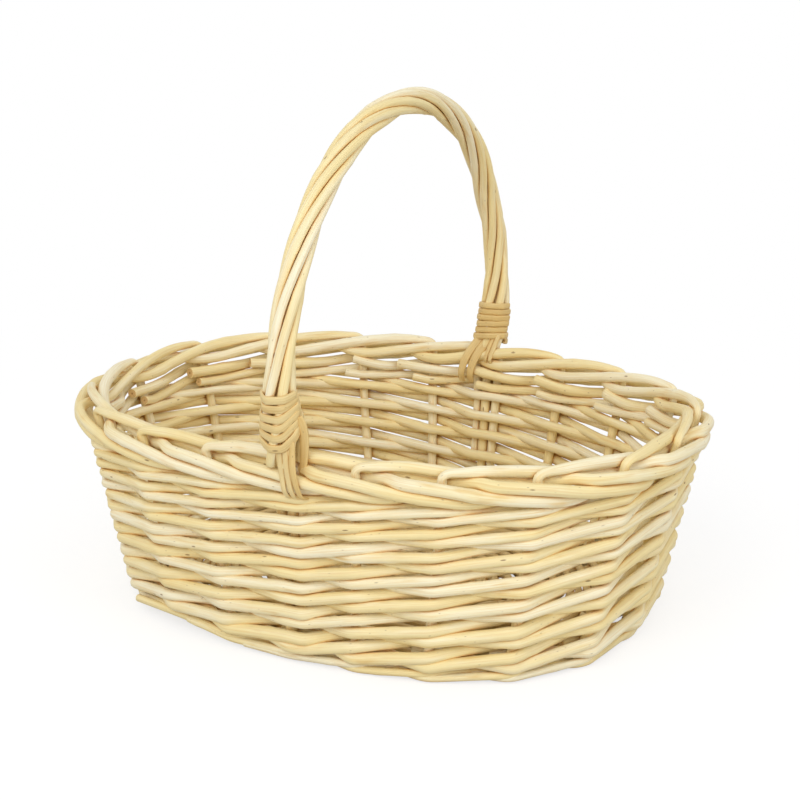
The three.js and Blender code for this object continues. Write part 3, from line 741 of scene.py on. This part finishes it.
def binding(node_name, k):
    path, normals = [], []
    foot = length_above(k, BINDING_FOOT[k])
    for i in range(BINDING_TURNS * LOOP_STEPS + 1):
        turn = i / LOOP_STEPS
        uneven = LOOP_UNEVEN * noise.noise(Vector((turn * 1.7, 3.1 + k, 0.5)))
        angle = TAU * turn if k == FRONT_FOOT else -TAU * turn
        facing, right = max(math.cos(angle - FACING), 0.0), max(math.sin(angle - FACING), 0.0)
        climb = foot + BINDING_PITCH[k] * turn + uneven
        climb += RISE[k] * right * (1 - turn / BINDING_TURNS) - SAG[k] * facing * math.exp(-turn / 2)
        length = climb if k == FRONT_FOOT else handle_length - climb
        radius = bundle_reach(angle - rope_turn(length), rope_circle(length)) + SKEIN_THICKNESS / 2
        point, normal = around_handle(length, angle, radius + LOOP_SLACK * math.sin(2.3 * turn))
        path.append(point)
        normals.append(normal)
    skein = tube(path, strip(SKEIN_WIDTH[k], SKEIN_THICKNESS), normals=normals, seed=91 + k)
    rod_piece(node_name + "_skein", [skein], SKEIN, node_name)


binding("binding_front", FRONT_FOOT)
binding("binding_rear", REAR_FOOT)

# Ties: skeins from under each binding down over the border, outside it at the front foot and inside
# it at the rear one. A run holds places across in mm, and levels against the border's middle and
# reaches from the stake line in lays.
TIE_THICKNESS = 1.5 * MM
TIE_STEP = 1.4 * MM
TIE_TIP = 0.62


def tie_skein(k, face, width, run, seed):
    """One skein along a run, with its flat side on the border."""
    points, normals = [], []
    for across, level, reach in run:
        at = bow_at(k) + across * MM / stake_spacing
        z = BORDER_HEIGHT + level * LAY
        points.append(on_wall(at, face * reach * LAY, z))
        normals.append(outwards(at, z) * face)
    path = smooth(points, TIE_STEP)
    along, coarse = lengths(path), lengths(points)
    facing = []
    for length in along:
        share = length / along[-1] * coarse[-1]
        i = min(max(bisect.bisect_left(coarse, share), 1), len(points) - 1)
        part = (share - coarse[i - 1]) / (coarse[i] - coarse[i - 1])
        facing.append(normals[i - 1].lerp(normals[i], part))

    def narrowing(share):
        return mix(1.0, TIE_TIP, share ** 2)

    return tube(path, strip(width, TIE_THICKNESS), narrowing, facing, seed)


# Front: three slim skeins side by side, and a wide one at their right that goes down into the border.
# A slim skein's start and end are the middle one's place across, and the step to the next one.
SLIM_COUNT, SLIM_WIDTH, WIDE_WIDTH = 3, 4.1 * MM, 6.4 * MM
SLIM_START, SLIM_END = (3.2, 4.2), (7.4, 4.6)
SLIM_SPREAD = 0.12
WIDE_RUN = [(9.0, 5.0, 0.30), (11.0, 4.3, 0.34), (11.8, 3.2, 0.36), (11.0, 1.8, 0.35),
            (9.8, 0.6, 0.40), (8.8, -0.5, 0.45)]
front_tie = []
for i in range(SLIM_COUNT):
    place = i - SLIM_COUNT // 2
    start, end = (middle + place * step for middle, step in (SLIM_START, SLIM_END))
    spread = SLIM_SPREAD * place
    run = [(start - 0.4, 3.0, 1.25), (start, 2.0, 1.50), (mix(start, end, 0.16), 1.0, 1.72 + spread),
           (mix(start, end, 0.40), -0.2, 1.86 + spread), (mix(start, end, 0.74), -1.2, 1.92),
           (end, -1.9, 1.62), (end + 1, -2.2, 0.9)]
    front_tie.append(tie_skein(FRONT_FOOT, 1, SLIM_WIDTH, run, 95 + i))
front_tie.append(tie_skein(FRONT_FOOT, 1, WIDE_WIDTH, WIDE_RUN, 98))
rod_piece("tie_front_skein", front_tie, SKEIN, "tie_front")

# Rear: two short skeins and two long ones, each with its start, end and width in mm, and its fall:
# levels and reaches
TIE_SWING = (0.0, 0.34, 0.64, 0.86, 0.98, 1.0)
LONG = [(2.6, 1.15), (1.5, 1.45), (0.6, 1.78), (-0.4, 1.92), (-1.4, 1.86), (-2.2, 1.3)]
SHORT = [(2.6, 1.1), (1.8, 1.35), (1.1, 1.6), (0.6, 1.7), (0.2, 1.7), (-0.1, 1.4)]
REAR_SKEINS = [(-9.4, -6.0, 3.6, SHORT), (-6.0, -2.6, 3.2, SHORT), (-3.6, 8.4, 6.4, LONG),
               (2.8, 15.2, 6.4, LONG)]
rear_tie = []
for i, (start, end, width, fall) in enumerate(REAR_SKEINS):
    run = [(mix(start, end, swing), level, out) for swing, (level, out) in zip(TIE_SWING, fall)]
    rear_tie.append(tie_skein(REAR_FOOT, -1, width * MM, run, 100 + i))
rod_piece("tie_rear_skein", rear_tie, SKEIN, "tie_rear")

# Base: three long sticks through three short ones, and two weavers that spiral outwards
SHORT_STICK_DIAMETER = 5.6 * MM
LONG_STICK_DIAMETER = 4.8 * MM
EYE_DIAMETER = 8.6 * MM
EYE_LENGTH = 24 * MM
EYE_SHOULDER = (0.35, 0.75)           # where the swelling begins and ends to thin out
STICK_STEPS = 80
FAN_BEND = 0.4                        # the second bend of a fanned stick, between the first and its end
BASE_WEAVER_DIAMETER = 4.6 * MM
BASE_TURNS = 11
WEAVE_START = 11.5 * MM
FAN_START = 27 * MM
FAN_ANGLE = math.radians(54)
TOE_LENGTH = 9 * MM
EDGE_INSET = 3.5 * MM                 # from the stakes' line to the last round of the base
UNDER_LEVEL = 3.3 * MM
STICK_LEVEL = 7.6 * MM
OVER_LEVEL = 12.8 * MM
ENDS = 12                             # of sticks, all round
BASE_SIDES = 8
BASE_TAPER = (1.16, 1.08)
BASE_WANDER = 0.3 * MM
slath_half = FLOOR_HALF[0] - FLOOR_HALF[1]
stick_reach = (FLOOR_HALF[1] * (1 - (slath_half / FLOOR_HALF[0]) ** SQUARENESS) ** (1 / SQUARENESS)
               - TOE_LENGTH - 3 * GAP)
weave_end = stick_reach - BASE_WEAVER_DIAMETER / 2
long_spacing = LONG_STICK_DIAMETER + GAP


def fan_point(reach):
    """An outer long stick at a distance from the slath's end."""
    start = Vector((math.sqrt(min(reach, FAN_START) ** 2 - long_spacing ** 2), long_spacing, 0))
    if reach <= FAN_START:
        return start
    towards = Vector((math.cos(FAN_ANGLE), math.sin(FAN_ANGLE), 0))
    half = start.dot(towards)
    return start + towards * (math.sqrt(half ** 2 + reach ** 2 - FAN_START ** 2) - half)


def on_stadium(q, reach):
    """A place on a stadium-shaped round, by the stick ends counted from the front right one."""
    fan = fan_point(reach)
    turn = math.atan2(fan.y, fan.x)
    angles = (-math.pi / 2, -turn, 0, turn, math.pi / 2)
    half = q % (ENDS / 2)
    flip = -1 if math.floor(q / (ENDS / 2)) % 2 else 1
    if half > 4:
        return Vector((flip * slath_half * (5 - half), flip * reach, 0))
    i = min(math.floor(half), 3)
    angle = mix(angles[i], angles[i + 1], half - i)
    return Vector((flip * (slath_half + reach * math.cos(angle)), flip * reach * math.sin(angle), 0))


def on_round(q, reach, z):
    """The outer rounds widen at their corners, to follow the floor's outline."""
    edge = on_stadium(q, weave_end)
    fill = (abs(edge.x / (FLOOR_HALF[0] - EDGE_INSET)) ** SQUARENESS
            + abs(edge.y / (FLOOR_HALF[1] - EDGE_INSET)) ** SQUARENESS) ** (-1 / SQUARENESS)
    return on_stadium(q, reach) * mix(1.0, max(fill, 1.0), (reach / weave_end) ** 2) + UP * z


def eye(share):
    """A short stick is swollen in the middle, where the long sticks go through it."""
    near, far = (place * EYE_LENGTH for place in EYE_SHOULDER)
    thin = ease(near, far, abs(share - 0.5) * 2 * stick_reach)
    return mix(EYE_DIAMETER / SHORT_STICK_DIAMETER, 1.0, thin)


for i in (-1, 0, 1):
    path = [Vector((i * slath_half, mix(-stick_reach, stick_reach, n / STICK_STEPS), STICK_LEVEL))
            for n in range(STICK_STEPS + 1)]
    rod = tube(path, circle(SHORT_STICK_DIAMETER), eye, seed=101 + i)
    rod_piece(f"base_short_stick_{i + 2}_rod", [rod], BASE, f"base_short_stick_{i + 2}")

for i in (-1, 0, 1):
    bends = [FAN_START, (1 - FAN_BEND) * FAN_START + FAN_BEND * stick_reach] if i else []
    half = [fan_point(reach) if i else Vector((reach, 0, 0)) for reach in bends + [stick_reach]]
    right = [Vector((slath_half + p.x, i * p.y, STICK_LEVEL)) for p in half]
    left = [Vector((-p.x, p.y, p.z)) for p in reversed(right)]
    rod = tube(smooth(left + right), circle(LONG_STICK_DIAMETER), seed=105 + i)
    rod_piece(f"base_long_stick_{i + 2}_rod", [rod], BASE, f"base_long_stick_{i + 2}")


def base_weaver(which):
    """Over one stick and under the next. The first rounds take the three long sticks as one."""
    start = which * ENDS // 2
    count = BASE_TURNS * ENDS
    growth = (weave_end - WEAVE_START) / count
    points = []
    for n in range(start, start + count + 1):
        reach = WEAVE_START + growth * (n - start)
        together = reach < 2 * FAN_START and n % (ENDS // 2) == 2
        over = (n % 2 == 1 or together) != (which == 1)
        points.append(on_round(n % ENDS, reach, OVER_LEVEL if over else UNDER_LEVEL))
        if n < start + count:
            points.append(on_round(n % ENDS + 0.5, reach + growth / 2, STICK_LEVEL))
    return points


# Three thin rods run round the stakes' feet, each behind one stake and in front of two. They are
# extra pieces, with no node of their own.
EDGE_ROD = 4.8 * MM
EDGE_LEVELS = (4.8 * MM, 3.2 * MM, 5.6 * MM)      # behind a stake, on the first and on the second
EDGE_START = 17
EDGE_KINK = 6 * MM
EDGE_TAPER = (1.04, 0.94)
EDGE_WANDER = 0.4 * MM
LOOSE_END = (0.22, 2.0)               # the first rod's start: past its stake, and how far it stands off
HIDDEN_END = (0.3, 1.4)               # each rod's end, inside
EDGE_COUNT = 3


def edge_run(which):
    """One round of an edge rod, from its loose end outside to its end inside."""
    reach = (STAKE_DIAMETER * WALL_SWELL + EDGE_ROD) / 2
    first = EDGE_START + which
    run = math.ceil((STAKES - which) / STROKE) * STROKE
    start, stand_off = LOOSE_END[0], max(LOOSE_END[1] - which, 1.0)
    points = [on_wall(stake_at(first) + start, stand_off * reach, EDGE_LEVELS[1])]
    for n in range(1, run + 1):
        out = reach if n % STROKE else -reach
        points.append(on_wall(stake_at(first + n), out, EDGE_LEVELS[n % STROKE]))
    end, sink = HIDDEN_END
    points.append(on_wall(stake_at(first + run) + end, -sink * reach, EDGE_LEVELS[0]))
    return points


for which in range(EDGE_COUNT):
    path = strayed(kinked(edge_run(which), EDGE_KINK), 115 + which, EDGE_WANDER)
    rod = tube(path, circle(EDGE_ROD), taper(*EDGE_TAPER), seed=115 + which)
    rod_piece(f"edge_rod_{which + 1}", [rod], WILLOW)

for which in (0, 1):
    path = strayed(smooth(base_weaver(which)), 110 + which, BASE_WANDER)
    rod = tube(path, circle(BASE_WEAVER_DIAMETER, BASE_SIDES), taper(*BASE_TAPER), seed=110 + which)
    rod_piece(f"base_weaver_{which + 1}_rod", [rod], BASE, f"base_weaver_{which + 1}")

# Camera, from the photograph's viewing angle
CAMERA_AZIMUTH = math.radians(25.33)
CAMERA_ELEVATION = math.radians(17.6)
CAMERA_DISTANCE = 1.3712
CAMERA_TARGET = Vector((0, 0, 0.120))
CAMERA_LENS, CAMERA_SENSOR = 94.5, 36
CAMERA_SHIFT = (0.01349, 0.02108)

back = Vector((math.sin(CAMERA_AZIMUTH) * math.cos(CAMERA_ELEVATION),
               -math.cos(CAMERA_AZIMUTH) * math.cos(CAMERA_ELEVATION), math.sin(CAMERA_ELEVATION)))
camera_data = bpy.data.cameras.new("camera")
camera_data.sensor_width = CAMERA_SENSOR
camera_data.lens = CAMERA_LENS
camera_data.shift_x, camera_data.shift_y = CAMERA_SHIFT
camera = bpy.data.objects.new("camera", camera_data)
camera.location = CAMERA_TARGET + back * CAMERA_DISTANCE
camera.rotation_euler = (-back).to_track_quat("-Z", "Y").to_euler()
bpy.context.scene.collection.objects.link(camera)
bpy.context.scene.camera = camera

# Floor: seen as white, with a share of real light near the basket so that it keeps the shadow
FLOOR_SIZE = 12.0
FLOOR_LIT = (0.35, 0.75)              # distances over which the lit floor turns plain white
FLOOR_LIGHT = 0.36                    # share of the seen floor that the lamps light
FLOOR_GLOW = 0.72
FLOOR_BOUNCE = 0.65                   # what the floor throws back at the basket
WHITE = (1, 1, 1, 1)


def grey(level):
    return (level, level, level, 1)


def floor_material():
    material, tree = new_material("floor_white")
    camera_ray = node(tree, "ShaderNodeLightPath").outputs["Is Camera Ray"]
    place = node(tree, "ShaderNodeNewGeometry").outputs["Position"]
    away = node(tree, "ShaderNodeVectorMath", {0: place}, operation="LENGTH").outputs["Value"]
    shaded = node(tree, "ShaderNodeBsdfDiffuse", {"Color": grey(FLOOR_LIGHT)}).outputs[0]
    glow = node(tree, "ShaderNodeEmission", {"Color": WHITE, "Strength": FLOOR_GLOW}).outputs[0]
    near = node(tree, "ShaderNodeAddShader", {0: shaded, 1: glow}).outputs[0]
    white = node(tree, "ShaderNodeEmission", {"Color": WHITE, "Strength": 1.0}).outputs[0]
    far = remap(tree, away, *FLOOR_LIT)
    seen = node(tree, "ShaderNodeMixShader", {0: far, 1: near, 2: white}).outputs[0]
    real = node(tree, "ShaderNodeBsdfDiffuse", {"Color": grey(FLOOR_BOUNCE)}).outputs[0]
    surface = node(tree, "ShaderNodeMixShader", {0: camera_ray, 1: real, 2: seen})
    node(tree, "ShaderNodeOutputMaterial", {"Surface": surface.outputs[0]})
    return material


floor_mesh = bpy.data.meshes.new("floor")
edge = FLOOR_SIZE / 2
corners = [(-edge, -edge, 0), (edge, -edge, 0), (edge, edge, 0), (-edge, edge, 0)]
floor_mesh.from_pydata(corners, [], [(0, 1, 2, 3)])
floor_mesh.materials.append(floor_material())
floor = bpy.data.objects.new("floor", floor_mesh)
bpy.context.scene.collection.objects.link(floor)

# Light: one large soft lamp above the front, a weaker one at the right, and a white room that is
# a little darker overhead
HORIZON_LEVEL, ZENITH_LEVEL = 0.76, 0.62
HORIZON, ZENITH = 0.1, 0.9            # how steeply a ray goes up at these two levels


def world_light():
    world = bpy.data.worlds.new("room")
    bpy.context.scene.world = world
    world.use_nodes = True
    tree = world.node_tree
    tree.nodes.clear()
    path = node(tree, "ShaderNodeLightPath")
    seen = path.outputs["Is Camera Ray"]
    for other in ("Is Glossy Ray", "Is Transmission Ray"):
        seen = math_node(tree, "MAXIMUM", seen, path.outputs[other])
    ray = node(tree, "ShaderNodeTexCoord").outputs["Generated"]
    height = node(tree, "ShaderNodeSeparateXYZ", {"Vector": ray}).outputs["Z"]
    level = remap(tree, height, HORIZON, ZENITH, HORIZON_LEVEL, ZENITH_LEVEL)
    room = node(tree, "ShaderNodeBackground", {"Color": WHITE, "Strength": level}).outputs[0]
    white = node(tree, "ShaderNodeBackground", {"Color": WHITE, "Strength": 1.0}).outputs[0]
    both = node(tree, "ShaderNodeMixShader", {0: seen, 1: room, 2: white})
    node(tree, "ShaderNodeOutputWorld", {"Surface": both.outputs[0]})


def soft_lamp(name, place, size, watts):
    data = bpy.data.lights.new(name, "AREA")
    data.shape = "DISK"
    data.size = size
    data.energy = watts
    lamp = bpy.data.objects.new(name, data)
    lamp.location = place
    lamp.rotation_euler = (CAMERA_TARGET - Vector(place)).to_track_quat("-Z", "Y").to_euler()
    bpy.context.scene.collection.objects.link(lamp)


world_light()
soft_lamp("key_lamp", (0.1, -1.9, 1.5), 1.8, 17.8)
soft_lamp("side_lamp", (1.9, -0.7, 1.0), 1.0, 6)
bpy.context.scene.view_settings.view_transform = "Standard"
